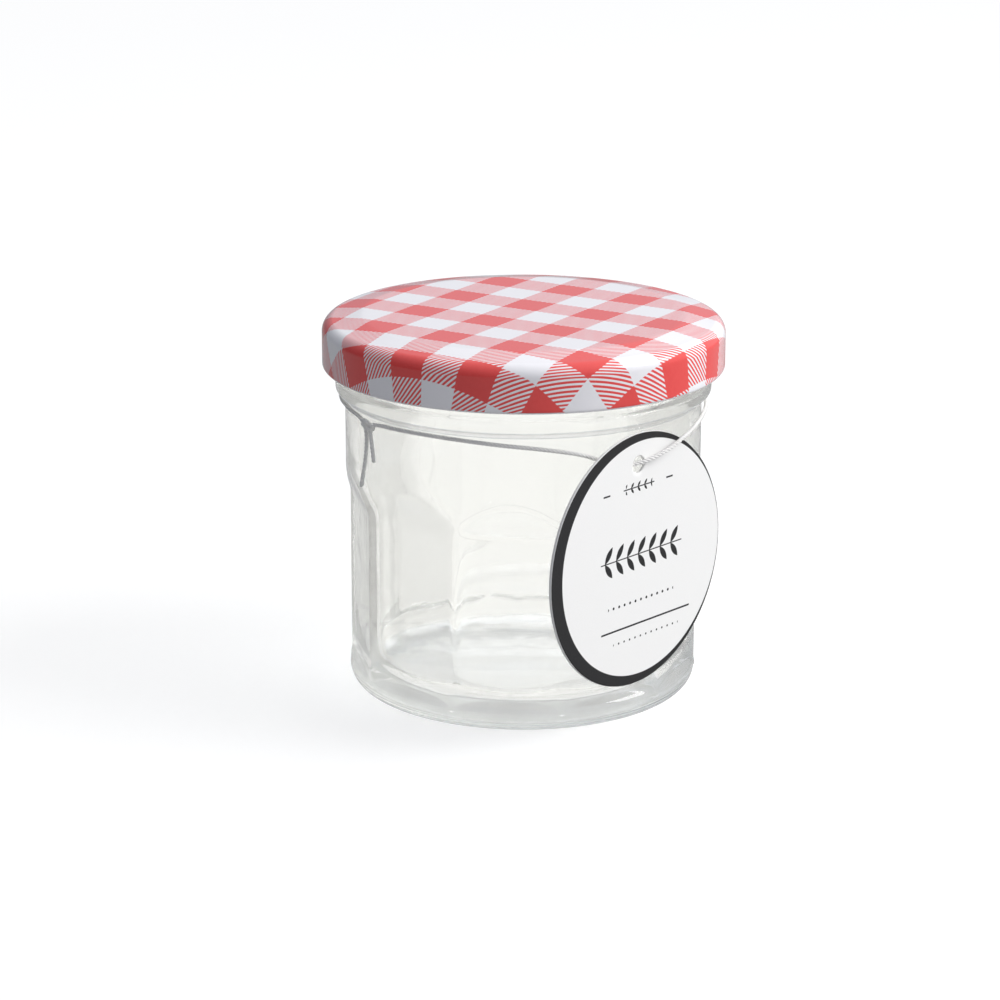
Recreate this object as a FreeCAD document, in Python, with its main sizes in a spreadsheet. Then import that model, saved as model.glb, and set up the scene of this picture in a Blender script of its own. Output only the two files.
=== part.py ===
import FreeCAD, Part
import math
import os
import Sketcher

# A small ten-sided preserve jar: a pressed glass pot with a round band above its flats, a steel
# twist-off lid with its sealing ring, and a round card tag tied round the neck with a thin string.
# Millimetres, +Z up, origin under the middle of the base. One flat faces -Y.

os.makedirs("parts", exist_ok=True)
doc = FreeCAD.newDocument("preserve_jar")
sizes = doc.addObject("Spreadsheet::Sheet", "sizes")

SIZES = [
    # glass, outside
    ("facet_count", 10),
    ("band_radius", 32.4),
    ("facet_setback", 1.95),
    ("facet_apothem", "=band_radius - facet_setback"),
    ("corner_round", 4.0),
    ("facet_top", 35.8),
    ("flare_tangent", 0.3145),
    ("heel_setback", 0.5),
    ("heel_radius", "=band_radius - heel_setback"),
    ("heel_height", 3.6),
    ("heel_shoulder", 2.0),
    ("standing_ring", 2.6),
    ("recess_radius", "=heel_radius - heel_height - standing_ring"),
    ("push_up", 1.4),
    # heights of the closed neck, from the rim down
    ("rim_height", 67.6),
    ("seal_rise", 1.9),
    ("lid_height", 9.5),
    ("lid_base", "=rim_height + seal_rise - lid_height"),
    ("bead_gap", 1.5),
    ("bead_height", 3.1),
    ("bead_base", "=lid_base - bead_gap - bead_height"),
    # glass, neck and finish
    ("bead_proud", 1.7),
    ("bead_radius", "=band_radius + bead_proud"),
    ("finish_proud", 0.6),
    ("finish_radius", "=band_radius + finish_proud"),
    ("lip_round", 1.1),
    ("lip_outer", "=finish_radius - lip_round"),
    ("thread_round", 0.75),
    ("thread_span", 34.0),
    # glass, inside
    ("wall", 2.35),
    ("inner_corner_round", 9.0),
    ("floor_height", 3.8),
    ("floor_round", 9.0),
    # lid
    ("skirt_proud", 3.5),
    ("lid_radius", "=finish_radius + skirt_proud"),
    ("sheet_gauge", 0.3),
    ("shoulder_round", 2.4),
    ("panel_inset", 7.3),
    ("panel_radius", "=lid_radius - panel_inset"),
    ("panel_drop", 0.75),
    ("curl_round", 0.7),
    ("lug_count", 6),
    ("lug_round", 0.65),
    ("lug_span", 15.0),
    ("lug_gap", 0.3),
    ("thread_height", "=lid_base + curl_round + lug_round + lug_gap + thread_round"),
    # sealing ring, a little wider than the rim on both sides
    ("liner_inside", 0.05),
    ("liner_outside", 0.4),
    ("liner_inner", "=band_radius - wall - liner_inside"),
    ("liner_outer", "=finish_radius + liner_outside"),
    # neck that the string's route was laid for
    ("route_band", 32.4),
    ("route_neck", 55.4),
    # tag
    ("tag_radius", 23.0),
    ("tag_gauge", 0.6),
    ("tag_clearance", 0.4),
    ("tag_facing", 53.5),
    ("tag_shift", "=-7.3 * band_radius / route_band"),
    ("tag_under_bead", 0.9),
    ("tag_centre_height", "=bead_base - tag_under_bead - tag_radius"),
    ("hole_radius", 1.6),
    ("hole_margin", 5.6),
    ("hole_rise", "=tag_radius - hole_margin"),
    # string and its knot
    ("string_radius", 0.4),
    ("knot_angle", -52.6),
    ("knot_reach", "=33.7 * band_radius / route_band"),
    ("knot_under_bead", 1.8),
    ("knot_centre_height", "=bead_base - knot_under_bead"),
    ("knot_radius", 1.25),
    ("knot_span", 0.8),
]
for row, (alias, _content) in enumerate(SIZES, start=1):
    sizes.set("A%d" % row, alias)
    sizes.setAlias("B%d" % row, alias)
for row, (_alias, content) in enumerate(SIZES, start=1):
    sizes.set("B%d" % row, str(content))
doc.recompute()


def value(expression):
    """The number that an expression on the sheet's aliases gives now."""
    result = sizes.evalExpression(on_sheet(expression))
    return float(getattr(result, "Value", result))


def on_sheet(expression):
    """Puts the sheet's name before every alias in an expression."""
    text = " " + expression + " "
    for alias, _number in sorted(SIZES, key=lambda item: -len(item[0])):
        pieces = []
        rest = text
        while alias in rest:
            before, rest = rest.split(alias, 1)
            edge = before[-1:]
            whole = not (edge.isalnum() or edge in "_.") and not (rest[:1].isalnum() or rest[:1] == "_")
            pieces.append(before + ("sizes." + alias if whole else alias))
        text = "".join(pieces) + rest
    return text.strip()


def bind(thing, prop, expression):
    thing.setExpression(prop, on_sheet(expression))


def origin_plane(body, role):
    return [f for f in body.Origin.OriginFeatures if f.Role == role][0]


def revolved(name, corners):
    """A body turned round Z from a closed outline in the XZ plane.

    A corner is (radius, height) or (radius, height, arc radius, side), where the arc runs from that
    corner to the next one with its centre on the left (1) or the right (-1) of the way there.
    """
    body = doc.addObject("PartDesign::Body", name)
    sketch = body.newObject("Sketcher::SketchObject", name + "_outline")
    sketch.AttachmentSupport = [(origin_plane(body, "XZ_Plane"), "")]
    sketch.MapMode = "FlatFace"
    places = [FreeCAD.Vector(value(c[0]), value(c[1]), 0) for c in corners]
    count = len(corners)
    starts = []
    for i, corner in enumerate(corners):
        a, b = places[i], places[(i + 1) % count]
        if len(corner) == 2:
            sketch.addGeometry(Part.LineSegment(a, b), False)
            starts.append((1, 2))
            continue
        radius, side = value(corner[2]), corner[3]
        chord = b - a
        rise = math.sqrt(max(radius ** 2 - (chord.Length / 2) ** 2, 0))
        normal = FreeCAD.Vector(-chord.y, chord.x, 0).normalize()
        centre = a + chord * 0.5 + normal * (rise * side)
        angle_a = math.atan2(a.y - centre.y, a.x - centre.x)
        angle_b = math.atan2(b.y - centre.y, b.x - centre.x)
        circle = Part.Circle(centre, FreeCAD.Vector(0, 0, 1), radius)
        if side > 0:
            sketch.addGeometry(Part.ArcOfCircle(circle, angle_a, angle_b), False)
            starts.append((1, 2))
        else:
            sketch.addGeometry(Part.ArcOfCircle(circle, angle_b, angle_a), False)
            starts.append((2, 1))
    for i in range(count):
        after = (i + 1) % count
        sketch.addConstraint(Sketcher.Constraint("Coincident", i, starts[i][1], after, starts[after][0]))
    for i, corner in enumerate(corners):
        for way, size in (("X", corner[0]), ("Y", corner[1])):
            number = places[i].x if way == "X" else places[i].y
            if size == "0":
                axis = -2 if way == "X" else -1
                sketch.addConstraint(Sketcher.Constraint("PointOnObject", i, starts[i][0], axis))
                continue
            index = sketch.addConstraint(
                Sketcher.Constraint("Distance" + way, -1, 1, i, starts[i][0], number))
            sketch.renameConstraint(index, "corner%d%s" % (i, way))
            bind(sketch, "Constraints.corner%d%s" % (i, way), size)
        if len(corner) > 2:
            index = sketch.addConstraint(Sketcher.Constraint("Radius", i, value(corner[2])))
            sketch.renameConstraint(index, "arc%d" % i)
            bind(sketch, "Constraints.arc%d" % i, corner[2])
    turn = body.newObject("PartDesign::Revolution", name + "_turned")
    turn.Profile = sketch
    turn.ReferenceAxis = (sketch, ["V_Axis"])
    turn.Angle = 360
    body.Tip = turn
    return body


def facet_section(name, apothem, rounding, height):
    """A flat-sided outline with rounded corners, one side facing -Y, at a height."""
    polygon = doc.addObject("Part::RegularPolygon", name + "_polygon")
    bind(polygon, "Polygon", "facet_count")
    bind(polygon, "Circumradius", "(%s - %s) / cos(180deg / facet_count)" % (apothem, rounding))
    bind(polygon, "Placement.Base.z", height)
    bind(polygon, "Placement.Rotation.Angle", "-90deg - 180deg / facet_count")
    rounded = doc.addObject("Part::Offset2D", name)
    rounded.Source = polygon
    rounded.Mode = "Pipe"
    rounded.Join = "Arc"
    bind(rounded, "Value", rounding)
    return rounded


def facet_form(name, sections):
    """A solid through flat-sided outlines, straight from each height to the next."""
    form = doc.addObject("Part::Loft", name)
    form.Sections = [facet_section("%s_%d" % (name, i), *s) for i, s in enumerate(sections, start=1)]
    form.Solid = True
    form.Ruled = True
    return form


def joined(kind, name, pieces):
    result = doc.addObject(kind, name)
    if kind == "Part::Cut":
        result.Base, result.Tool = pieces
    else:
        result.Shapes = pieces
    result.Refine = True
    return result


def ring_segments(name, count, reach, height, rounding, span, turn):
    """Short round ribs in a ring, evenly spaced round Z, as threads and lugs are."""
    pieces = []
    for i in range(int(value(count))):
        rib = doc.addObject("Part::Torus", "%s_%d" % (name, i + 1))
        bind(rib, "Radius1", reach)
        bind(rib, "Radius2", rounding)
        bind(rib, "Angle3", span)
        bind(rib, "Placement.Base.z", height)
        bind(rib, "Placement.Rotation.Angle", "%d * 360deg / (%s) + %s" % (i, count, turn))
        pieces.append(rib)
    return pieces


# Glass jar. Its outside is a round form cut back by ten flats, which run out into arches under
# the round band, and stands on a round heel that swells past the flats.
BAND_TOP = "bead_base - (bead_radius - band_radius) * 0.35"
LIP_SIDE = "rim_height - lip_round"
round_outside = revolved("round_outside", [
    ("0", "heel_height"),
    ("band_radius", "heel_height"),
    ("band_radius", BAND_TOP),
    ("bead_radius - bead_height * 0.3", "bead_base"),
    ("bead_radius", "bead_base + bead_height * 0.35"),
    ("bead_radius", "bead_base + bead_height * 0.65"),
    ("bead_radius - bead_height * 0.3", "bead_base + bead_height"),
    ("finish_radius", "bead_base + bead_height"),
    ("finish_radius", LIP_SIDE, "lip_round", 1),
    ("lip_outer", "rim_height"),
    ("0", "rim_height"),
])
flats_outside = facet_form("flats_outside", [
    ("facet_apothem", "corner_round", "heel_height"),
    ("facet_apothem", "corner_round", "facet_top"),
    ("bead_radius + 1", "corner_round", "facet_top + (bead_radius + 1 - facet_apothem) / flare_tangent"),
    ("bead_radius + 1", "corner_round", "rim_height + 1"),
])
walls = joined("Part::MultiCommon", "jar_walls", [round_outside, flats_outside])

heel = revolved("heel", [
    ("0", "0"),
    ("heel_radius - heel_height", "0", "heel_height", 1),
    ("heel_radius", "heel_height", "heel_shoulder", 1),
    ("heel_radius - heel_shoulder", "heel_height + heel_shoulder"),
    ("0", "heel_height + heel_shoulder"),
])
threads = ring_segments("thread", "lug_count", "finish_radius + thread_round * 0.1", "thread_height",
                        "thread_round", "thread_span", "13deg")
outside = joined("Part::MultiFuse", "jar_outside", [walls, heel] + threads)

CAVITY_RADIUS = "band_radius - wall"
round_inside = revolved("round_inside", [
    ("0", "floor_height"),
    (CAVITY_RADIUS + " - floor_round", "floor_height", "floor_round", 1),
    (CAVITY_RADIUS, "floor_height + floor_round"),
    (CAVITY_RADIUS, "rim_height - lip_round", "lip_round", -1),
    (CAVITY_RADIUS + " + lip_round", "rim_height"),
    (CAVITY_RADIUS + " + lip_round", "rim_height + 1"),
    ("0", "rim_height + 1"),
])
flats_inside = facet_form("flats_inside", [
    ("facet_apothem - wall", "inner_corner_round", "floor_height - 1"),
    ("facet_apothem - wall", "inner_corner_round", "facet_top"),
    ("bead_radius", "inner_corner_round",
     "facet_top + (bead_radius - facet_apothem + wall) / flare_tangent"),
    ("bead_radius", "inner_corner_round", "rim_height + 2"),
])
cavity = joined("Part::MultiCommon", "jar_cavity", [round_inside, flats_inside])

# The base is pushed up, so that the jar stands on a ring.
recess = revolved("base_recess", [
    ("0", "-1"),
    ("recess_radius", "-1"),
    ("recess_radius", "0", "(recess_radius * recess_radius + push_up * push_up) / (2 * push_up)", 1),
    ("0", "push_up"),
])
hollows = joined("Part::MultiFuse", "jar_hollows", [cavity, recess])
glass_jar = joined("Part::Cut", "glass_jar", [outside, hollows])

# Lid: pressed steel with a shallow slope from its panel to a round shoulder, a straight skirt,
# a curled hem and six lugs that lie under the threads.
SKIRT_TOP = "lid_base + lid_height - panel_drop - shoulder_round"
SHOULDER = "lid_radius - shoulder_round"
PANEL_TOP = "lid_base + lid_height"
lid_shell = revolved("lid_shell", [
    ("0", PANEL_TOP + " - sheet_gauge"),
    ("panel_radius", PANEL_TOP + " - sheet_gauge"),
    (SHOULDER, SKIRT_TOP + " + shoulder_round - sheet_gauge", "shoulder_round - sheet_gauge", -1),
    ("lid_radius - sheet_gauge", SKIRT_TOP),
    ("lid_radius - sheet_gauge", "lid_base + curl_round * 2 + sheet_gauge"),
    ("lid_radius - curl_round", "lid_base + curl_round * 2", "curl_round", 1),
    ("lid_radius - curl_round * 2", "lid_base + curl_round", "curl_round", 1),
    ("lid_radius - curl_round", "lid_base", "curl_round", 1),
    ("lid_radius", "lid_base + curl_round"),
    ("lid_radius", SKIRT_TOP, "shoulder_round", 1),
    (SHOULDER, SKIRT_TOP + " + shoulder_round"),
    ("panel_radius", PANEL_TOP),
    ("0", PANEL_TOP),
])
lugs = ring_segments("lug", "lug_count", "lid_radius - curl_round * 2 - lug_round * 0.3",
                     "lid_base + curl_round", "lug_round", "lug_span", "24deg")
lid = joined("Part::MultiFuse", "lid", [lid_shell] + lugs)

# Sealing ring: moulded into the lid, from the slope above it down to the glass rim.
SLOPE = "panel_drop / (lid_radius - shoulder_round - panel_radius)"
UNDER_PANEL = PANEL_TOP + " - sheet_gauge"
liner = revolved("liner", [
    ("liner_inner", "rim_height"),
    ("liner_outer", "rim_height"),
    ("liner_outer", "%s - (liner_outer - panel_radius) * %s" % (UNDER_PANEL, SLOPE)),
    ("liner_inner", "%s - (liner_inner - panel_radius) * %s" % (UNDER_PANEL, SLOPE)),
])

# Tag: a round card, upright, just outside the band, with a punched hole near its top.
tag_blank = doc.addObject("Part::Cylinder", "tag_blank")
bind(tag_blank, "Radius", "tag_radius")
bind(tag_blank, "Height", "tag_gauge")
tag_hole = doc.addObject("Part::Cylinder", "tag_hole")
bind(tag_hole, "Radius", "hole_radius")
bind(tag_hole, "Height", "tag_gauge + 2")
bind(tag_hole, "Placement.Base.y", "hole_rise")
tag_hole.Placement.Base.z = -1
tag = joined("Part::Cut", "tag", [tag_blank, tag_hole])
TAG_REACH = "(band_radius + tag_clearance)"
TAG_TURN = "tag_facing * 1deg"
upright = FreeCAD.Rotation(FreeCAD.Vector(1, 0, 0), 90)
facing = FreeCAD.Rotation(FreeCAD.Vector(0, 0, 1), value("tag_facing"))
tag.Placement.Rotation = facing.multiply(upright)
bind(tag, "Placement.Base.x", "%s * sin(%s) + tag_shift * cos(%s)" % (TAG_REACH, TAG_TURN, TAG_TURN))
bind(tag, "Placement.Base.y", "-%s * cos(%s) + tag_shift * sin(%s)" % (TAG_REACH, TAG_TURN, TAG_TURN))
bind(tag, "Placement.Base.z", "tag_centre_height")

# String: one length, from the end of its longer tail up into the knot, to the left round the
# back of the neck, over the tag's face and through its hole, behind the tag and along the front
# to the knot again, and down its shorter tail.
STRING_ROUTE = [
    (-28.3, -18.1, 42.8),
    (-27.6, -18.9, 46.2),
    (-27.1, -19.5, 49.8),
    (-27.1, -19.9, 52.6),
    (-27.6, -19.7, 54.0),
    (-28.7, -17.5, 54.6),
    (-30.5, -13.6, 54.6),
    (-32.7, -6.9, 54.6),
    (-33.4, 2.3, 54.6),
    (-31.1, 12.5, 54.6),
    (-25.2, 22.0, 54.7),
    (-16.4, 29.2, 54.5),
    (-5.7, 33.0, 54.3),
    (5.9, 33.0, 54.1),
    (16.7, 29.0, 53.9),
    (25.6, 21.6, 53.8),
    (31.4, 11.7, 53.7),
    (33.5, 0.9, 53.6),
    (33.0, -8.1, 53.3),
    (31.3, -16.3, 52.6),
    (25.7, -24.3, 49.7),
    (18.4, -27.2, 48.3),
    (14.6, -29.9, 51.3),
    (7.5, -32.5, 52.9),
    (-1.2, -33.3, 53.7),
    (-9.7, -31.8, 54.2),
    (-17.1, -28.5, 54.3),
    (-21.8, -25.1, 54.2),
    (-24.4, -22.8, 54.2),
    (-26.2, -21.4, 54.0),
    (-26.4, -20.9, 52.4),
    (-26.1, -20.9, 49.9),
    (-25.8, -21.5, 47.4),
]


def rounded_route(points):
    """Straight runs joined by tangent arcs, each as large as its two runs allow."""
    corners = [FreeCAD.Vector(*p) for p in points]
    edges = []
    radii = []
    here = corners[0]
    for before, corner, after in zip(corners, corners[1:], corners[2:]):
        back, ahead = before - corner, after - corner
        half = (math.pi - back.getAngle(ahead)) / 2
        reach = 0.45 * min(back.Length, ahead.Length)
        radius = reach / math.tan(half)
        start = corner + back.normalize() * reach
        end = corner + ahead.normalize() * reach
        inward = (back + ahead).normalize()
        middle = corner + inward * (radius / math.cos(half) - radius)
        edges += [Part.LineSegment(here, start).toShape(), Part.Arc(start, middle, end).toShape()]
        radii.append(radius)
        here = end
    edges.append(Part.LineSegment(here, corners[-1]).toShape())
    return Part.Wire(edges), radii


# The route keeps to the neck: it widens with the band and moves up and down with the bead.
widening = value("band_radius / route_band")
lift = value("bead_base - route_neck")
route_points = [(x * widening, y * widening, z + lift) for x, y, z in STRING_ROUTE]
route_wire, bend_radii = rounded_route(route_points)
route = doc.addObject("Part::Feature", "string_route")
route.Shape = route_wire
section = doc.addObject("Part::Circle", "string_section")
bind(section, "Radius", "string_radius")
first_run = FreeCAD.Vector(*route_points[1]) - FreeCAD.Vector(*route_points[0])
section.Placement = FreeCAD.Placement(FreeCAD.Vector(*route_points[0]),
                                      FreeCAD.Rotation(FreeCAD.Vector(0, 0, 1), first_run))
string = doc.addObject("Part::Sweep", "string")
string.Sections = [section]
string.Spine = route
string.Solid = True
string.Frenet = False

# Knot: the string's own turns drawn tight, kept as one rounded lump fitted round both strands.
knot_side = value("knot_angle")
knot_middle = doc.addObject("Part::Cylinder", "knot_middle")
knot_ends = [doc.addObject("Part::Sphere", "knot_end_%d" % i) for i in (1, 2)]
for thing, side in zip([knot_middle] + knot_ends, (-0.5, -0.5, 0.5)):
    bind(thing, "Radius", "knot_radius")
    bind(thing, "Placement.Base.x", "knot_reach * sin(knot_angle * 1deg) + "
         "%g * knot_span * cos(knot_angle * 1deg)" % side)
    bind(thing, "Placement.Base.y", "-knot_reach * cos(knot_angle * 1deg) + "
         "%g * knot_span * sin(knot_angle * 1deg)" % side)
    bind(thing, "Placement.Base.z", "knot_centre_height")
bind(knot_middle, "Height", "knot_span")
along = FreeCAD.Rotation(FreeCAD.Vector(0, 0, 1), knot_side)
knot_middle.Placement.Rotation = along.multiply(FreeCAD.Rotation(FreeCAD.Vector(0, 1, 0), 90))
knot_lump = joined("Part::MultiFuse", "knot_lump", [knot_middle] + knot_ends)
knot = joined("Part::Cut", "knot", [knot_lump, string])

doc.recompute()

NODES = [glass_jar, lid, liner, tag, string, knot]
for thing in doc.Objects:
    if any(word in ("Invalid", "Error") for word in thing.State):
        raise RuntimeError("%s did not compute: %s" % (thing.Name, thing.State))
for node in NODES:
    shape = node.Shape
    if shape.isNull() or not shape.isValid():
        raise RuntimeError(node.Label + " has no valid shape")

for node in NODES:
    box = node.Shape.BoundBox
    print("%-10s solids %d  volume %9.2f  x %.2f..%.2f  y %.2f..%.2f  z %.2f..%.2f" % (
        node.Label, len(node.Shape.Solids), node.Shape.Volume,
        box.XMin, box.XMax, box.YMin, box.YMax, box.ZMin, box.ZMax))
    node.Shape.exportStep("parts/%s.step" % node.Label)

tube = math.pi * value("string_radius") ** 2 * route_wire.Length
print("string length %.1f, volume %.2f against %.2f" % (route_wire.Length, string.Shape.Volume, tube))
print("string bend radii", ", ".join("%.1f" % radius for radius in bend_radii))
print("brimful ml %.1f" % (cavity.Shape.common(outside.Shape).Volume / 1000))
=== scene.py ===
import math

import bpy
import numpy as np
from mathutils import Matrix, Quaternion, Vector


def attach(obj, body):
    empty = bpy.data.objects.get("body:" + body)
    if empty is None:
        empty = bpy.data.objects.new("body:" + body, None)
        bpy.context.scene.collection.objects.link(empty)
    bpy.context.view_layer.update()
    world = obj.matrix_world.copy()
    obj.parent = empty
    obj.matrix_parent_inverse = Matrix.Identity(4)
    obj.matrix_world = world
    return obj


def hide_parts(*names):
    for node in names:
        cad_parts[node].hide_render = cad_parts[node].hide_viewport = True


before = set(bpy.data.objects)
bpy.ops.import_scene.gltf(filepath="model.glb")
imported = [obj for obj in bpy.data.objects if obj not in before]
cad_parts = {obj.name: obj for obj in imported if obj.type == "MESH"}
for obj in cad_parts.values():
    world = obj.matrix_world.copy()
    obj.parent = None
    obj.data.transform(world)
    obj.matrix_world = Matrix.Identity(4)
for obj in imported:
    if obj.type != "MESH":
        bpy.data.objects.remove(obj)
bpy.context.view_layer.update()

MM = 0.001

# ---------------------------------------------------------------------------------------------
# The jar: pressed soda-lime glass, water-clear but faintly green through its thick edges. The
# mould cuts ten flats into a round pot. They run out into arches under a plain band, with a bead
# below the finish, six thread ribs, a rounded lip and a base pushed up inside its standing ring.


class Shade:
    """One socket of a material's nodes. Sums on it add Math nodes; node() adds any other node."""

    def __init__(self, tree, socket=None):
        self.tree, self.socket = tree, socket

    def node(self, kind, settings=None, sockets=None, out=0):
        made = self.tree.nodes.new("ShaderNode" + kind)
        for name, setting in (settings or {}).items():
            setattr(made, name, setting)
        for key, given in (sockets or {}).items():
            if isinstance(given, Shade):
                self.tree.links.new(given.socket, made.inputs[key])
            else:
                made.inputs[key].default_value = given
        return Shade(self.tree, made.outputs[out] if made.outputs else None)

    def math(self, operation, *others):
        return self.node("Math", {"operation": operation}, dict(enumerate((self,) + others)))

    def flipped(self, operation, other):
        return self.node("Math", {"operation": operation}, {0: other, 1: self})

    def __add__(self, other):
        return self.math("ADD", other)

    def __sub__(self, other):
        return self.math("SUBTRACT", other)

    def __mul__(self, other):
        return self.math("MULTIPLY", other)

    def __truediv__(self, other):
        return self.math("DIVIDE", other)

    def __pow__(self, other):
        return self.math("POWER", other)

    def __gt__(self, other):
        return self.math("GREATER_THAN", other)

    def __lt__(self, other):
        return self.math("LESS_THAN", other)

    def __radd__(self, other):
        return self.flipped("ADD", other)

    def __rsub__(self, other):
        return self.flipped("SUBTRACT", other)

    def __abs__(self):
        return self.math("ABSOLUTE")

    def split(self):
        """The three values of a vector."""
        parts = self.node("SeparateXYZ", sockets={0: self})
        outputs = parts.socket.node.outputs
        return [Shade(self.tree, outputs[i]) for i in range(3)]

    def blend(self, low, high):
        """A colour that goes from low to high as this value goes from 0 to 1."""
        return self.node("Mix", {"data_type": "RGBA"}, {0: self, 6: low, 7: high}, out=2)


def finish_named(name):
    """A new material with no nodes at all, and the Shade to build it with."""
    material = bpy.data.materials.new(name)
    material.use_nodes = True
    material.node_tree.nodes.clear()
    return material, Shade(material.node_tree)


def skinned_piece(name, points, faces, material):
    """A smooth-shaded object with a skin of the given points and faces."""
    mesh = bpy.data.meshes.new(name)
    mesh.from_pydata(points, [], faces)
    mesh.polygons.foreach_set("use_smooth", [True] * len(faces))
    mesh.materials.append(material)
    piece = bpy.data.objects.new(name, mesh)
    bpy.context.scene.collection.objects.link(piece)
    return piece


def turned_piece(name, rings, turns, material, print_radius=None):
    """A closed skin through rings of points round Z, in mm, from its first centre to its last.

    A ring is (radius, height), each one number or one per turn. A first or last ring of radius 0
    is one point. With print_radius, one number per ring, the skin carries a map called print.
    """
    points, rows = [], []
    for radius, height in rings:
        if np.ndim(radius) == 0 and radius == 0:
            rows.append([len(points)] * len(turns))
            points.append((0.0, 0.0, float(height) * MM))
            continue
        radius = np.broadcast_to(radius, turns.shape)
        height = np.broadcast_to(height, turns.shape)
        rows.append(list(range(len(points), len(points) + len(turns))))
        points += list(zip(radius * np.sin(turns) * MM, -radius * np.cos(turns) * MM, height * MM))
    faces, face_rows = [], []
    count = len(turns)
    loop = rows[0][0] != rows[0][1] and rows[-1][0] != rows[-1][1]
    pairs = [(i, i + 1) for i in range(len(rows) - 1)] + ([(len(rows) - 1, 0)] if loop else [])
    for below, above in pairs:
        for i in range(count):
            j = (i + 1) % count
            corners = [(rows[below][i], below, i), (rows[below][j], below, j),
                       (rows[above][j], above, j), (rows[above][i], above, i)]
            kept = [c for k, c in enumerate(corners) if c[0] != corners[k - 1][0]]
            faces.append([c[0] for c in kept])
            face_rows.append(kept)
    piece = skinned_piece(name, points, faces, material)
    if print_radius is not None:
        flat = [(print_radius[row] * math.sin(turns[i]), -print_radius[row] * math.cos(turns[i]))
                for kept in face_rows for _point, row, i in kept]
        piece.data.uv_layers.new(name="print").data.foreach_set("uv", np.array(flat).ravel())
    return piece


def rounded(corners, passes):
    """A profile with its inner corners cut smooth."""
    for _pass in range(passes):
        cut = [corners[0]]
        for (r0, z0), (r1, z1) in zip(corners, corners[1:]):
            cut += [(0.75 * r0 + 0.25 * r1, 0.75 * z0 + 0.25 * z1),
                    (0.25 * r0 + 0.75 * r1, 0.25 * z0 + 0.75 * z1)]
        corners = [cut[0]] + cut[2:-2] + [corners[-1]]
    return corners


def soft_min(a, b, melt):
    """The lesser of two radii, run together over melt as pressed glass is in a crease."""
    near = np.maximum(melt - np.abs(a - b), 0) / melt
    return np.minimum(a, b) - near ** 2 * melt / 4


def soft_max(a, b, melt):
    return -soft_min(-a, -b, melt)


FACET = 2 * math.pi / 10
BAND, APOTHEM, CORNER = 32.4, 30.45, 2.4
FLARE_BASE, FLARE, FLARE_BEND = 35.8, 0.3145, 0.8
ARCH_FOOT, ARCH_BLEND, BAND_TOP, BAND_MELT = 34.6, 1.8, 53.8, 0.3
HEEL, HEEL_HEIGHT, HEEL_SHOULDER = 31.9, 3.6, 2.0
CREASE_MELT, CREASE_CHANGE = 0.7, 0.5
RECESS, PUSH_UP = 25.7, 1.4
FINISH, RIM, LIP = 33.0, 67.6, 1.1
BORE, BORE_MELT = 30.05, 0.8
FLOOR, FLOOR_ROUND, FLOOR_MELT, FLOOR_REACH, FLOOR_CROWN = 3.8, 9.0, 1.6, 21.0, 0.3
INNER_APOTHEM, INNER_CORNER = 28.1, 4.5
THREAD, THREAD_ROUND, THREAD_PITCH = 62.4, 0.75, 0.5
THREAD_STEP, THREAD_HALF_SPAN, THREAD_FADE = math.radians(60), math.radians(17), math.radians(4)
CORNER_FROM, CORNER_TO = 15.6, 20.4

flat_steps = np.concatenate([np.linspace(-CORNER_FROM, CORNER_FROM, 21),
                             np.linspace(CORNER_FROM, CORNER_TO, 11)[1:-1]])
turns = np.radians(np.concatenate([36 * i + flat_steps for i in range(10)]))


def flats_reach(apothem, rounding):
    """How far out the ten flats and their rounded corners lie at each turn."""
    aside = np.abs((turns + FACET / 2) % FACET - FACET / 2)
    core = (apothem - rounding) / math.cos(FACET / 2)
    to_corner = FACET / 2 - aside
    round_part = core * np.cos(to_corner) + np.sqrt(
        np.maximum(rounding ** 2 - (core * np.sin(to_corner)) ** 2, 0))
    on_flat = apothem * np.tan(aside) <= (apothem - rounding) * math.tan(FACET / 2)
    return np.where(on_flat, apothem / np.cos(aside), round_part)


def flare_out(height):
    """How far a flat has leaned out at a height, with its bend eased."""
    rise = height - FLARE_BASE
    bend = np.maximum(rise + FLARE_BEND, 0) ** 2 / (4 * FLARE_BEND)
    return FLARE * np.where(rise > FLARE_BEND, rise, bend)


def arch_height():
    """Where the leaning flats meet the band at each turn."""
    aside = np.abs((turns + FACET / 2) % FACET - FACET / 2)
    to_corner = FACET / 2 - aside
    flat = BAND * np.cos(aside)
    core = BAND * np.cos(to_corner) - np.sqrt(
        np.maximum(CORNER ** 2 - (BAND * np.sin(to_corner)) ** 2, 0))
    on_flat = BAND * np.sin(aside) <= (flat - CORNER) * math.tan(FACET / 2)
    lean = np.where(on_flat, flat, core * math.cos(FACET / 2) + CORNER) - APOTHEM
    return FLARE_BASE + lean / FLARE


def heel_reach(height):
    """How far out the heel's round shoulder lies at a height."""
    centre = HEEL - HEEL_SHOULDER
    return centre + np.sqrt(np.maximum(HEEL_SHOULDER ** 2 - (height - HEEL_HEIGHT) ** 2, 0))


def dome(radius):
    """How far the middle of the base is pushed up at a radius."""
    sphere = (RECESS ** 2 + PUSH_UP ** 2) / (2 * PUSH_UP)
    return math.sqrt(sphere ** 2 - radius ** 2) - sphere + PUSH_UP


def thread_reach(height):
    """The finish with its six sloping ribs, each fading out at both ends."""
    along = (turns + THREAD_STEP / 2) % THREAD_STEP - THREAD_STEP / 2
    middle = THREAD + THREAD_PITCH * along / THREAD_HALF_SPAN
    fade = np.clip((THREAD_HALF_SPAN - np.abs(along)) / THREAD_FADE, 0, 1)
    rib = np.sqrt(np.maximum(THREAD_ROUND ** 2 - (height - middle) ** 2, 0))
    return FINISH + rib * fade * fade * (3 - 2 * fade)


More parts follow.
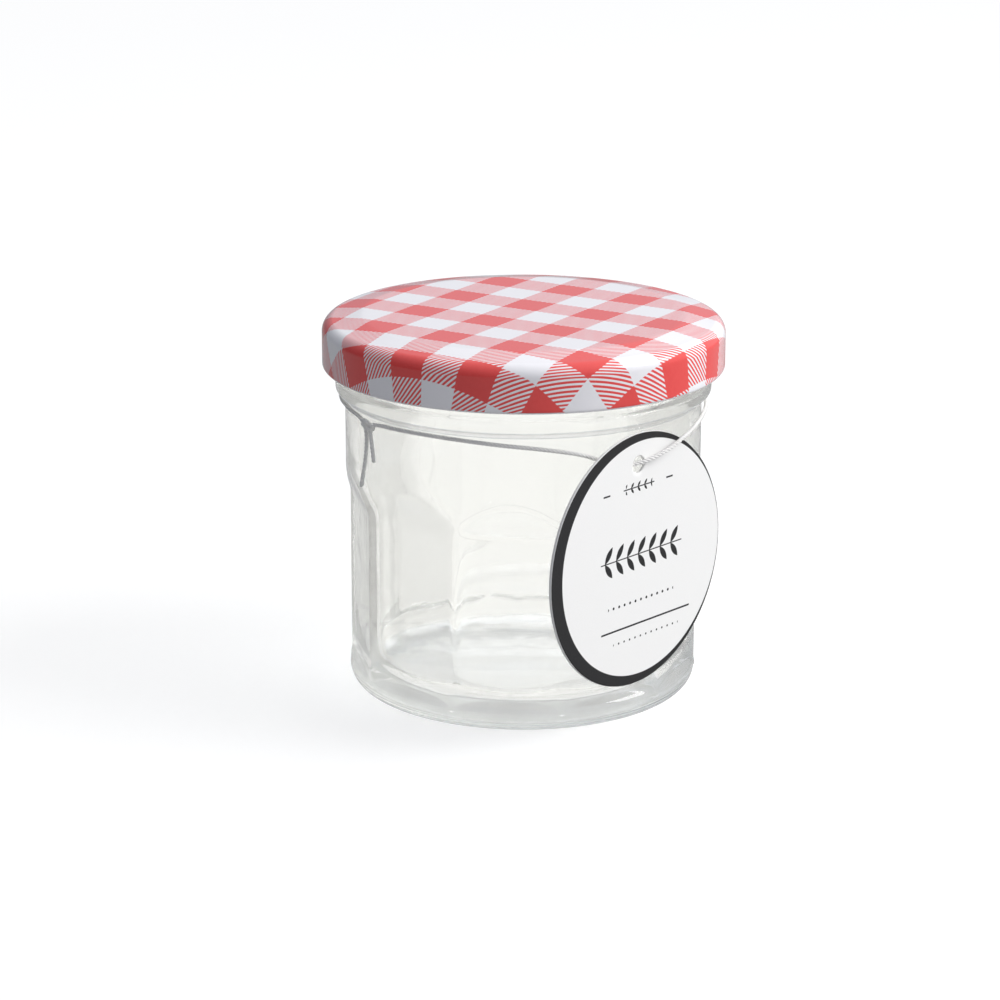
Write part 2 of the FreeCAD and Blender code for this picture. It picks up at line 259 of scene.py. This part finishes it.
walls = flats_reach(APOTHEM, CORNER)
heel_centre = HEEL - HEEL_SHOULDER
heel_crease = HEEL_HEIGHT + np.sqrt(HEEL_SHOULDER ** 2 - (walls - heel_centre) ** 2)
arches = arch_height()
# The heel's crease is crisp at the front of the jar and melted at the back.
crease_melt = CREASE_MELT - CREASE_CHANGE * np.cos(turns)


def under_band(height):
    """The leaning flats as far as the round band, at a height given for each turn."""
    return soft_min(flats_reach(APOTHEM + flare_out(height), CORNER), BAND, BAND_MELT)


jar_rings = [(0, PUSH_UP)]
jar_rings += [(r, dome(r)) for r in (4, 8, 12, 16, 20, 23, 25)]
jar_rings += [(25.6, 0.06), (26.1, 0.0), (27.2, 0.0), (28.3, 0.0)]
for t in np.radians(np.linspace(0, 90, 14)[1:]):
    jar_rings.append((HEEL - HEEL_HEIGHT * (1 - math.sin(t)), HEEL_HEIGHT * (1 - math.cos(t))))
for share in (0.15, 0.3, 0.45, 0.6, 0.72, 0.83, 0.92, 1.0):
    height = HEEL_HEIGHT + (heel_crease - HEEL_HEIGHT) * share
    jar_rings.append((soft_max(heel_reach(height), walls, crease_melt), height))
for rise in (0.12, 0.3, 0.6, 1.0, 1.6):
    height = heel_crease + rise
    jar_rings.append((soft_max(heel_reach(height), walls, crease_melt), height))
for height in (10.0, 16.0, 24.0, 31.0, 33.6):
    jar_rings.append((walls, height))
for share in (0.0, 0.1, 0.2, 0.3, 0.42, 0.54, 0.66, 0.78, 0.88, 0.95, 1.0):
    height = ARCH_FOOT + (arches - ARCH_FOOT) * share
    jar_rings.append((under_band(height), height))
for rise in (0.15, 0.35, 0.65, 1.1, ARCH_BLEND):
    jar_rings.append((under_band(arches + rise), arches + rise))
for share in (0.33, 0.66):
    jar_rings.append((BAND, arches + ARCH_BLEND + (BAND_TOP - ARCH_BLEND - arches) * share))
jar_rings += rounded([(BAND, BAND_TOP), (BAND, 54.75), (33.25, 55.3), (34.1, 55.95),
                      (34.16, 56.95), (34.1, 57.95), (33.3, 58.45), (FINISH, 58.9),
                      (FINISH, 60.4)], 2)
jar_rings += [(thread_reach(z), z) for z in np.arange(60.8, 64.3, 0.2)]
jar_rings.append((FINISH, 65.4))
for t in np.radians(np.linspace(0, 90, 7)):
    jar_rings.append((FINISH - LIP * (1 - math.cos(t)), RIM - LIP * (1 - math.sin(t))))
for t in np.radians(np.linspace(90, 0, 7)):
    jar_rings.append((BORE + LIP * (1 - math.cos(t)), RIM - LIP * (1 - math.sin(t))))
for height in (64.0, 60.0, 56.0, 52.0, 48.0, 45.0, 43.0, 41.5, 40.2, 39.0, 37.8, 36.8, 35.8, 34.8,
               33.0, 28.0, 22.0, 17.0, 14.6, 12.8, 11.4, 10.2, 9.0, 8.0, 7.1, 6.4, 5.8, 5.3, 4.9, 4.55,
               4.25, 4.05, 3.9):
    inside = soft_min(BORE, flats_reach(INNER_APOTHEM + flare_out(height), INNER_CORNER), BORE_MELT)
    drop = max(FLOOR + FLOOR_ROUND - height, 0)
    if drop:
        fillet = BORE - FLOOR_ROUND + math.sqrt(FLOOR_ROUND ** 2 - drop ** 2)
        inside = soft_min(inside, fillet, FLOOR_MELT)
    jar_rings.append((inside, height))
jar_rings += [(r, FLOOR + FLOOR_CROWN * (1 - (r / FLOOR_REACH) ** 2))
              for r in (20.5, 18, 15, 12, 9, 6, 3)]
jar_rings.append((0, FLOOR + FLOOR_CROWN))

CLEARNESS = 0.25
clear_glass, shade = finish_named("clear_pressed_glass")
place = shade.node("TexCoord", out="Object")
ripple = place.node("TexNoise", sockets={"Vector": place, "Scale": 55.0, "Detail": 2.0})
orange_peel = place.node("TexNoise", sockets={"Vector": place, "Scale": 260.0, "Detail": 1.0})
waviness = ripple * 0.8 + orange_peel * 0.2
uneven = shade.node("Bump", sockets={"Strength": 0.12, "Distance": 0.0012, "Height": waviness})
glass = shade.node("BsdfPrincipled", sockets={
    "Base Color": (0.985, 0.992, 0.988, 1), "Roughness": 0.0, "IOR": 1.5,
    "Transmission Weight": 1.0, "Normal": uneven})
see_through = shade.node("BsdfTransparent", sockets={"Color": (0.95, 0.955, 0.95, 1)})
to_lamp = shade.node("LightPath", out="Is Shadow Ray")
worn_out = shade.node("LightPath", out="Ray Depth") > 7.0
pressed = shade.node("MixShader", sockets={0: CLEARNESS, 1: glass, 2: see_through})
body = shade.node("MixShader", sockets={
    0: to_lamp.math("MAXIMUM", worn_out), 1: pressed, 2: see_through})
green = shade.node("VolumeAbsorption", sockets={"Color": (0.66, 0.67, 0.60, 1), "Density": 11.0})
shade.node("OutputMaterial", sockets={"Surface": body, "Volume": green})

jar = turned_piece("jar_glass", jar_rings, turns, clear_glass)
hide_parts("glass_jar")
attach(jar, "root")

# ---------------------------------------------------------------------------------------------
# The seal: a ring of soft plastisol flowed into the lid's channel and cured there, pressed down
# on the glass rim. It is cream and satin, and finely mottled.
SEAL_INNER, SEAL_OUTER, SEAL_BASE, SEAL_TOP = 30.0, 33.4, 67.6, 69.0

seal_rings = rounded([(31.2, SEAL_BASE), (32.6, SEAL_BASE), (SEAL_OUTER, SEAL_BASE + 0.05),
                      (SEAL_OUTER, 68.5), (32.6, 68.62), (30.8, SEAL_TOP - 0.12),
                      (SEAL_INNER, SEAL_TOP - 0.05), (SEAL_INNER, SEAL_BASE + 0.1),
                      (30.4, SEAL_BASE), (31.1, SEAL_BASE)], 2)
plastisol, shade = finish_named("cream_plastisol")
place = shade.node("TexCoord", out="Object")
mottle = place.node("TexNoise", sockets={"Vector": place, "Scale": 900.0, "Detail": 3.0})
cream = mottle.blend((0.80, 0.77, 0.68, 1), (0.88, 0.85, 0.77, 1))
dimples = shade.node("Bump", sockets={"Strength": 0.25, "Distance": 0.0001, "Height": mottle})
soft = shade.node("BsdfPrincipled", sockets={
    "Base Color": cream, "Roughness": 0.55, "Normal": dimples})
shade.node("OutputMaterial", sockets={"Surface": soft})
seal_turns = np.radians(np.arange(0, 360, 3.0))
seal = turned_piece("seal_ring", seal_rings, seal_turns, plastisol)
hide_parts("liner")
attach(seal, "root")

# ---------------------------------------------------------------------------------------------
# The lid: tinned steel sheet, white-coated, printed flat with a red gingham and varnished, then
# drawn to a shallow pan. A slope leads from the panel to the round shoulder, and the hem is
# curled in under the skirt, with six lugs pressed inward that catch the threads.
LID, LID_BASE, LID_TOP, GAUGE = 36.5, 60.0, 69.5, 0.3
PANEL, DROP, SHOULDER = 29.2, 0.75, 2.4
CURL = 0.7
LUG_TURN, LUG_STEP = math.radians(1.5), math.radians(60)
LUG_HALF_SPAN, LUG_FADE = math.radians(7.5), math.radians(2.5)
LUG_DEPTH, LUG_HALF_HIGH, LUG_TOP = 0.85, 0.9, 61.6

lid_turns = np.radians(np.arange(0, 360, 1.0))
shoulder_radius, shoulder_height = LID - SHOULDER, LID_TOP - DROP - SHOULDER


def printed_at(run):
    """How far from the blank's middle the print lay that is now this far along the profile."""
    return float(np.interp(run, [0, 28.0, 29.2, 34.2, 36.0, 38.0, 40.0, 42.5, 44.4],
                           [0, 28.0, 29.4, 35.2, 37.1, 39.8, 41.5, 43.8, 45.9]))


def lug_reach(radius, height):
    """The curl's inner side, pushed in at the six lugs."""
    along = (lid_turns - LUG_TURN + LUG_STEP / 2) % LUG_STEP - LUG_STEP / 2
    push = np.clip((LUG_HALF_SPAN - np.abs(along)) / LUG_FADE, 0, 1)
    depth = LUG_DEPTH * max(0, 1 - ((height - LID_BASE - CURL) / LUG_HALF_HIGH) ** 2)
    return radius - depth * push * push * (3 - 2 * push)


outer = [(r, LID_TOP) for r in (0, 5, 10, 15, 20, 24, 27)]
outer += rounded([(28.0, LID_TOP), (PANEL, LID_TOP), (30.2, LID_TOP - 0.14), (32.4, 69.02),
                  (shoulder_radius - 0.6, 68.86), (shoulder_radius, 68.75)], 2)
for t in np.radians(np.linspace(0, 90, 13)[1:]):
    outer.append((shoulder_radius + SHOULDER * math.sin(t), shoulder_height + SHOULDER * math.cos(t)))
outer += [(LID, z) for z in (65.2, 64.0, 62.8, 61.8, 61.2)]
for t in np.radians(np.linspace(0, 90, 8)):
    outer.append((LID - CURL * (1 - math.cos(t)), LID_BASE + CURL * (1 - math.sin(t))))
inner = []
for t in np.radians(np.linspace(90, 270, 15)[1:]):
    inner.append((LID - CURL * (1 - math.cos(t)), LID_BASE + CURL * (1 - math.sin(t))))
inner += [(35.95, 61.45), (LID - GAUGE, 61.75), (LID - GAUGE, 63.5), (LID - GAUGE, shoulder_height)]
for t in np.radians(np.linspace(90, 0, 8)[1:]):
    inner.append((shoulder_radius + (SHOULDER - GAUGE) * math.sin(t),
                  shoulder_height + (SHOULDER - GAUGE) * math.cos(t)))
inner += [(31.0, 68.92), (PANEL, LID_TOP - GAUGE), (20, LID_TOP - GAUGE), (10, LID_TOP - GAUGE),
          (0, LID_TOP - GAUGE)]
runs, run = [0.0], 0.0
for (r0, z0), (r1, z1) in zip(outer, outer[1:]):
    run += math.hypot(r1 - r0, z1 - z0)
    runs.append(run)
UNPRINTED = 60.0
blank = [printed_at(r) for r in runs] + [UNPRINTED] * len(inner)
lid_rings = outer + [(lug_reach(r, z) if r < LID - CURL and z < LUG_TOP else r, z)
                     for r, z in inner]

CHECK, CHECK_ANGLE, CHECK_X, CHECK_Y = 7.093, math.radians(64.26), 0.911, -26.020
HATCH, HATCH_GAP, HATCH_EDGE = 7.0, 0.235, 0.08
CHECK_EDGE, PRINTED_RADIUS = 0.017, 45.35

gingham, shade = finish_named("gingham_printed_steel")
spot = shade.node("UVMap", {"uv_map": "print"})
x, y, _z = spot.split()
across = ((x - CHECK_X) * math.cos(CHECK_ANGLE) + (y - CHECK_Y) * math.sin(CHECK_ANGLE)) / CHECK
down = ((x - CHECK_X) * math.sin(CHECK_ANGLE) - (y - CHECK_Y) * math.cos(CHECK_ANGLE)) / CHECK


def inked(value, softness):
    """1 where a value is over 0 and 0 where it is under, with a printed edge between."""
    return (value / softness + 0.5).math("MINIMUM", 1.0).math("MAXIMUM", 0.0)


warp = inked(0.5 - across.math("PINGPONG", 1.0), CHECK_EDGE)
weft = inked(0.5 - down.math("PINGPONG", 1.0), CHECK_EDGE)
hatch = inked(((across - down) * HATCH).math("PINGPONG", 0.5) - HATCH_GAP, HATCH_EDGE)
both = warp * weft
one = warp + weft - both * 2.0
printed = (x * x + y * y).math("SQRT") < PRINTED_RADIUS
ink = (both + one * hatch) * printed
grain = spot.node("TexNoise", sockets={"Vector": spot, "Scale": 1.3, "Detail": 4.0})
red = grain.blend((0.77, 0.066, 0.064, 1), (0.82, 0.086, 0.080, 1))
enamel = ink.blend((0.88, 0.87, 0.90, 1), red)
drawn = spot.node("TexNoise", sockets={"Vector": spot, "Scale": 0.35, "Detail": 2.0})
peel = shade.node("Bump", sockets={"Strength": 0.1, "Distance": 0.0004, "Height": drawn})
sheen = grain * 0.08 + 0.24
steel = shade.node("BsdfPrincipled", sockets={
    "Base Color": enamel, "Roughness": sheen, "Specular IOR Level": 0.0, "Coat Weight": 1.0,
    "Coat Roughness": 0.1, "Normal": peel})
shade.node("OutputMaterial", sockets={"Surface": steel})

lid = turned_piece("lid_steel", lid_rings, lid_turns, gingham, blank)
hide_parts("lid")
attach(lid, "root")

# ---------------------------------------------------------------------------------------------
# The tag: a die-cut disc of smooth white card, hung on the string by a punched hole. It is
# printed in black with a ring a little off its middle, two sprigs, two dashes, a rule and two
# rows of dots, and its cut edge shows the bare board.
TAG, BOARD, HOLE, HOLE_RISE = 23.0, 0.6, 1.6, 17.4
RING_INSIDE, RING_X, RING_Y = 21.45, 1.35, 0.1
FACING = math.radians(53.5)
TAG_REACH, TAG_SHIFT, TAG_HEIGHT = 32.8, -7.3, 31.5

tag_middle = Vector((TAG_REACH * math.sin(FACING) + TAG_SHIFT * math.cos(FACING),
                     -TAG_REACH * math.cos(FACING) + TAG_SHIFT * math.sin(FACING), TAG_HEIGHT))
tag_right = Vector((math.cos(FACING), math.sin(FACING), 0))
tag_out = Vector((math.sin(FACING), -math.cos(FACING), 0))
spokes = np.radians(np.arange(0, 360, 2.5))
points, flat_map = [], []


def tag_ring(share, inset, level):
    """One ring of the card between its hole and its rim, level mm out from its back face."""
    ring = []
    for t in spokes:
        direction = np.array([math.cos(t), math.sin(t)])
        near = (HOLE + inset) * direction + (0, HOLE_RISE)
        b = HOLE_RISE * direction[1]
        far_run = -b + math.sqrt(b * b - HOLE_RISE ** 2 + (TAG - inset) ** 2)
        far = far_run * direction + (0, HOLE_RISE)
        spot = near + (far - near) * share
        ring.append(len(points))
        flat_map.append(spot)
        points.append((tag_middle + tag_right * float(spot[0]) + tag_out * level
                       + Vector((0, 0, float(spot[1])))) * MM)
    return ring


SHARES = (0.0, 0.02, 0.06, 0.14, 0.3, 0.5, 0.7, 0.86, 0.95, 0.99, 1.0)
EDGE = 0.07
front = [tag_ring(s, EDGE, BOARD) for s in SHARES]
back = [tag_ring(s, EDGE, 0.0) for s in reversed(SHARES)]
rim = [tag_ring(1.0, 0.0, BOARD - EDGE), tag_ring(1.0, 0.0, EDGE)]
bore = [tag_ring(0.0, 0.0, EDGE), tag_ring(0.0, 0.0, BOARD - EDGE)]
belts = front + rim + back + bore
faces = []
for below, above in zip(belts, belts[1:] + belts[:1]):
    for i in range(len(spokes)):
        j = (i + 1) % len(spokes)
        faces.append((below[i], above[i], above[j], below[j]))

card, shade = finish_named("printed_card")
spot = shade.node("UVMap", {"uv_map": "face"})
x, y, _z = spot.split()
facing = shade.node("NewGeometry", out="Normal")
on_front = facing.node("VectorMath", {"operation": "DOT_PRODUCT"},
                       {0: facing, 1: tuple(tag_out)}, out="Value") > 0.8


def within(value, half, blur=0.06):
    """1 where a value is under half, with an ink edge of the given blur."""
    return inked(half - value, blur)


def rule(cx, cy, half_long, half_wide):
    """A level line."""
    return within(abs(x - cx), half_long) * within(abs(y - cy), half_wide)


def dotted(cx, cy, half_long, gap, radius):
    """A row of round dots, as far as half_long to each side."""
    beside = (x - cx).math("WRAP", gap / 2, -gap / 2)
    dot = within((beside * beside + (y - cy) * (y - cy)).math("SQRT"), radius)
    return dot * within(abs(x - cx), half_long)


def sprig(cx, cy, half_long, gap, leaf_long, leaf_wide, tilt):
    """A straight stem with pairs of slim leaves that lean along it."""
    beside = (x - cx).math("WRAP", gap / 2, -gap / 2)
    out = abs(y - cy) - leaf_long * math.sin(tilt)
    along = (beside * math.cos(tilt) + out * math.sin(tilt)) / leaf_long
    aside = (out * math.cos(tilt) - beside * math.sin(tilt)) / leaf_wide
    leaves = within(along * along + abs(aside), 1.0, 0.12) * within(abs(x - cx), half_long)
    return leaves.math("MAXIMUM", rule(cx, cy, half_long + 0.6, 0.11))


off_x, off_y = x - RING_X, y - RING_Y
white_disc = within((off_x * off_x + off_y * off_y).math("SQRT"), RING_INSIDE)
ink = 1.0 - white_disc
for mark in (rule(2.6, -11.9, 12.2, 0.17), rule(-8.5, 13.3, 0.9, 0.16), rule(8.6, 13.4, 0.9, 0.16),
             sprig(0.2, 13.4, 3.6, 1.8, 0.62, 0.24, 0.9), sprig(1.2, 1.0, 10.5, 3.0, 1.75, 0.6, 0.95),
             dotted(1.2, -7.6, 9.0, 1.5, 0.26), dotted(2.7, -14.4, 9.0, 1.5, 0.2)):
    ink = ink.math("MAXIMUM", mark)
fibres = spot.node("TexNoise", sockets={"Vector": spot, "Scale": 3.0, "Detail": 6.0})
board = fibres.blend((0.86, 0.855, 0.84, 1), (0.90, 0.895, 0.885, 1))
black = fibres.blend((0.012, 0.012, 0.013, 1), (0.03, 0.029, 0.03, 1))
front_ink = ink * on_front
paper = front_ink.blend(board, black)
tooth = shade.node("Bump", sockets={"Strength": 0.18, "Distance": 0.00008, "Height": fibres})
dull = 0.62 - front_ink * 0.17
card_skin = shade.node("BsdfPrincipled", sockets={
    "Base Color": paper, "Roughness": dull, "Specular IOR Level": 0.25, "Normal": tooth})
shade.node("OutputMaterial", sockets={"Surface": card_skin})

tag = skinned_piece("tag_card", points, faces, card)
face_map = tag.data.uv_layers.new(name="face").data
for loop in tag.data.loops:
    face_map[loop.index].uv = flat_map[loop.vertex_index]
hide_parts("tag")
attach(tag, "root")

# ---------------------------------------------------------------------------------------------
# The string: one length of white cotton thread, three plies twisted together, tied round the
# neck under the bead. It goes behind the jar, over the tag and through its hole, and back along
# the front to a knot at the left, from which both tails hang.
STRING_WIDE, KNOT_STRAND = 0.8, 0.72
PLY_SHARE, STRAND_STEP, END_PINCH = 0.27, 0.2, 0.55
STRING_ROUTE = [
    (-27.2, -19.7, 41.6), (-26.4, -20.5, 45.6), (-25.9, -21.1, 49.8), (-25.9, -21.5, 52.6),
    (-26.4, -21.3, 54.0), (-27.6, -19.2, 54.6), (-30.0, -14.7, 54.6), (-32.7, -6.9, 54.6),
    (-33.4, 2.3, 54.6), (-31.1, 12.5, 54.6), (-25.2, 22.0, 54.7), (-16.4, 29.2, 54.5),
    (-5.7, 33.0, 54.3), (5.9, 33.0, 54.1), (16.7, 29.0, 53.9), (25.6, 21.6, 53.8),
    (31.4, 11.7, 53.7), (33.5, 0.9, 53.6), (33.0, -8.1, 53.3), (31.3, -16.3, 52.6),
    (25.7, -24.3, 49.7), (18.4, -27.2, 48.3), (14.6, -29.9, 51.3), (7.5, -32.5, 52.9),
    (-1.2, -33.3, 53.7), (-9.7, -31.8, 54.2), (-16.4, -28.9, 54.3), (-20.6, -26.1, 54.2),
    (-23.0, -24.2, 54.2), (-24.9, -22.9, 54.0), (-25.1, -22.4, 52.4), (-24.8, -22.4, 49.9),
    (-24.4, -23.0, 47.0)]


def smooth_path(name, route):
    """Points along the smooth curve that a route's points steer, in metres."""
    curve = bpy.data.curves.new(name, "CURVE")
    curve.dimensions = "3D"
    curve.resolution_u = 24
    spline = curve.splines.new("NURBS")
    spline.points.add(len(route) - 1)
    for control, (px, py, pz) in zip(spline.points, route):
        control.co = (px * MM, py * MM, pz * MM, 1)
    spline.order_u = 3
    spline.use_endpoint_u = True
    line = bpy.data.objects.new(name, curve)
    bpy.context.scene.collection.objects.link(line)
    read = bpy.data.meshes.new_from_object(line.evaluated_get(bpy.context.evaluated_depsgraph_get()))
    path = np.array([v.co[:] for v in read.vertices])
    bpy.data.objects.remove(line)
    bpy.data.curves.remove(curve)
    bpy.data.meshes.remove(read)
    return path


def twisted_thread(name, path, wide, material, plies=3, pitch=2.3, sides=8):
    """A thread of plies wound round a path, closed at both ends."""
    lengths = np.concatenate([[0], np.cumsum(np.linalg.norm(np.diff(path, axis=0), axis=1))])
    count = int(lengths[-1] / (STRAND_STEP * MM))
    at = np.linspace(0, lengths[-1], count)
    line = np.stack([np.interp(at, lengths, path[:, k]) for k in range(3)], 1)
    along = np.gradient(line, axis=0)
    along /= np.linalg.norm(along, axis=1)[:, None]
    side = np.zeros_like(along)
    side[0] = np.cross(along[0], (0.3, 0.1, 0.9))
    for i in range(count):
        carried = side[max(i - 1, 0)]
        carried = carried - along[i] * (carried @ along[i])
        side[i] = carried / np.linalg.norm(carried)
    up = np.cross(along, side)
    ply = wide * PLY_SHARE
    wind = wide * 0.5 - ply
    points, faces = [], []
    for strand in range(plies):
        turn = 2 * math.pi * (at / (pitch * MM) + strand / plies)
        centre = line + (side * np.cos(turn)[:, None] + up * np.sin(turn)[:, None]) * wind
        first = len(points)
        for i in range(count):
            swell = ply * (1 + 0.05 * math.sin(at[i] * 9100 + strand * 2.1) * math.sin(at[i] * 2300))
            if i in (0, count - 1):
                swell *= END_PINCH
            for k in range(sides):
                a = 2 * math.pi * k / sides
                points.append(centre[i] + (side[i] * math.cos(a) + up[i] * math.sin(a)) * swell)
        for i in range(count - 1):
            for k in range(sides):
                m = (k + 1) % sides
                faces.append((first + i * sides + k, first + i * sides + m,
                              first + (i + 1) * sides + m, first + (i + 1) * sides + k))
        faces.append([first + k for k in reversed(range(sides))])
        faces.append([first + (count - 1) * sides + k for k in range(sides)])
    return skinned_piece(name, [tuple(p) for p in points], faces, material)


cotton, shade = finish_named("white_cotton_thread")
place = shade.node("TexCoord", out="Object")
fluff = place.node("TexNoise", sockets={"Vector": place, "Scale": 4200.0, "Detail": 3.0})
tone = place.node("TexNoise", sockets={"Vector": place, "Scale": 260.0, "Detail": 2.0})
white = tone.blend((0.80, 0.785, 0.765, 1), (0.90, 0.89, 0.88, 1))
fuzz = shade.node("Bump", sockets={"Strength": 0.5, "Distance": 0.00006, "Height": fluff})
fibre = shade.node("BsdfPrincipled", sockets={
    "Base Color": white, "Roughness": 0.85, "Sheen Weight": 0.4, "Sheen Roughness": 0.5,
    "Normal": fuzz})
shade.node("OutputMaterial", sockets={"Surface": fibre})

route_path = smooth_path("string_route", STRING_ROUTE)
string = twisted_thread("string_cotton", route_path, STRING_WIDE * MM, cotton)

# The knot: both strands tied once together in an overhand knot and pulled down, a small lump of
# their own turns, each turn lying round the pair and over the last one.
KNOT_TURN, KNOT_REACH, KNOT_HEIGHT = math.radians(-49.2), 33.7, 53.7
knot_right = Vector((math.cos(KNOT_TURN), math.sin(KNOT_TURN), 0))
knot_out = Vector((math.sin(KNOT_TURN), -math.cos(KNOT_TURN), 0))
knot_middle = knot_out * KNOT_REACH + Vector((0, 0, KNOT_HEIGHT))
KNOT_TURNS = [
    (-1.0, -0.2, 0.5), (-0.9, 0.55, 0.75), (-0.1, 0.95, 0.95), (0.8, 0.75, 0.75), (1.15, 0.1, 0.1),
    (0.9, -0.65, -0.45), (0.1, -0.85, -0.75), (-0.75, -0.6, -0.35), (-1.1, 0.15, 0.15),
    (-0.7, 0.8, 0.1), (0.05, 0.8, -0.1), (0.75, 0.55, -0.6), (1.0, -0.25, -0.7),
    (0.45, -0.8, -0.85), (-0.35, -0.6, -0.9), (-0.95, 0.0, -0.5), (-0.7, 0.5, 0.45),
    (0.1, 0.85, 0.45), (0.75, 0.4, 0.85)]
knot_route = []
for right, out, up in KNOT_TURNS:
    knot_route.append(tuple(knot_middle + knot_right * right + knot_out * out + Vector((0, 0, up))))
knot_path = smooth_path("knot_route", knot_route)
knot = twisted_thread("knot_cotton", knot_path, KNOT_STRAND * MM, cotton)
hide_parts("string")
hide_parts("knot")
for piece in (string, knot):
    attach(piece, "root")

# ---------------------------------------------------------------------------------------------
# The studio: a plain pale floor that keeps the jar's soft shadow, a white surround, one large
# soft lamp high at the right, and the camera a little above the lid. To rays that have come
# through the glass, the floor is a white sheet and the surround is brighter.
SPREAD, FLOOR_DROP = 3.0, 0.00002
FLOOR_GREY, FLOOR_LIFT, SHEET_GLOW, SHEET_SHARE = 0.40, 0.64, 1.12, 0.9
LIT_SIDE = Vector((0.62, 0.25, 0.74)).normalized()


def past_glass(shade):
    """1 for a ray that has come through glass, but not for one that lights a matt surface."""
    matt = shade.node("LightPath", out="Is Diffuse Ray")
    return (shade.node("LightPath", out="Transmission Depth") > 0.0) * (1.0 - matt)


floor_mesh = bpy.data.meshes.new("studio_floor")
floor_mesh.from_pydata([(-SPREAD, -SPREAD, 0), (SPREAD, -SPREAD, 0), (SPREAD, SPREAD, 0),
                        (-SPREAD, SPREAD, 0)], [], [(0, 1, 2, 3)])
floor = bpy.data.objects.new("studio_floor", floor_mesh)
floor.location.z = -FLOOR_DROP
bpy.context.scene.collection.objects.link(floor)
pale, shade = finish_named("pale_floor")
seen = shade.node("LightPath", out="Is Camera Ray")
ground = shade.node("BsdfDiffuse", sockets={"Color": (FLOOR_GREY, FLOOR_GREY, FLOOR_GREY, 1)})
lift = shade.node("Emission", sockets={"Color": (1, 1, 1, 1), "Strength": seen * FLOOR_LIFT})
whitened = shade.node("AddShader", sockets={0: ground, 1: lift})
sheet = shade.node("Emission", sockets={"Color": (1, 0.985, 0.955, 1), "Strength": SHEET_GLOW})
through = past_glass(shade)
laid = shade.node("MixShader", sockets={0: through * SHEET_SHARE, 1: whitened, 2: sheet})
shade.node("OutputMaterial", sockets={"Surface": laid})
floor_mesh.materials.append(pale)

world = bpy.data.worlds.new("studio")
bpy.context.scene.world = world
world.use_nodes = True
world.node_tree.nodes.clear()
shade = Shade(world.node_tree)
way = shade.node("TexCoord", out="Generated")
towards_light = way.node("VectorMath", {"operation": "DOT_PRODUCT"}, {0: way, 1: tuple(LIT_SIDE)},
                         out="Value")
facing = (towards_light * 0.5 + 0.5).math("MAXIMUM", 0.0)
glow = 0.02 + facing ** 2.2 * 1.30 + past_glass(shade) * 0.5
tint = facing.blend((0.78, 0.90, 1.16, 1), (1.0, 0.99, 0.98, 1))
room = shade.node("Background", sockets={"Color": tint, "Strength": glow})
backdrop = shade.node("Background", sockets={"Color": (1, 1, 1, 1), "Strength": 1.0})
seen = shade.node("LightPath", out="Is Camera Ray")
chosen = shade.node("MixShader", sockets={0: seen, 1: room, 2: backdrop})
shade.node("OutputWorld", sockets={"Surface": chosen})


def soft_lamp(name, place, aim, wide, watts):
    """A round soft box, turned from its place to where it aims, in metres."""
    lamp = bpy.data.lights.new(name, "AREA")
    lamp.shape = "DISK"
    lamp.size = wide
    lamp.energy = watts
    stand = bpy.data.objects.new(name, lamp)
    stand.location = place
    stand.rotation_mode = "QUATERNION"
    stand.rotation_quaternion = (Vector(aim) - Vector(place)).to_track_quat("-Z", "Y")
    bpy.context.scene.collection.objects.link(stand)


soft_lamp("key_softbox", (0.9, -0.05, 0.7), (0, 0, 0.04), 0.6, 8.0)

EYE_TURN, EYE_RISE, EYE_REACH, EYE_LENS = math.radians(5.0), math.radians(16.96), 0.6, 117.3
ASIDE, ABOVE, LEAN = 0.0042, 0.0039, math.radians(0.17)
target = Vector((0, 0, 0.030))
to_eye = Vector((math.sin(EYE_TURN) * math.cos(EYE_RISE),
                 -math.cos(EYE_TURN) * math.cos(EYE_RISE), math.sin(EYE_RISE)))
eye = bpy.data.cameras.new("camera")
eye.sensor_width = 36.0
eye.lens = EYE_LENS
camera = bpy.data.objects.new("camera", eye)
camera.location = target + to_eye * EYE_REACH
level = (-to_eye).to_track_quat("-Z", "Y")
aim = target + level @ Vector((-ASIDE, ABOVE, 0))
camera.rotation_mode = "QUATERNION"
camera.rotation_quaternion = ((aim - camera.location).to_track_quat("-Z", "Y")
                              @ Quaternion((0, 0, 1), LEAN))
bpy.context.scene.collection.objects.link(camera)
bpy.context.scene.camera = camera
bpy.context.scene.view_settings.view_transform = "Standard"
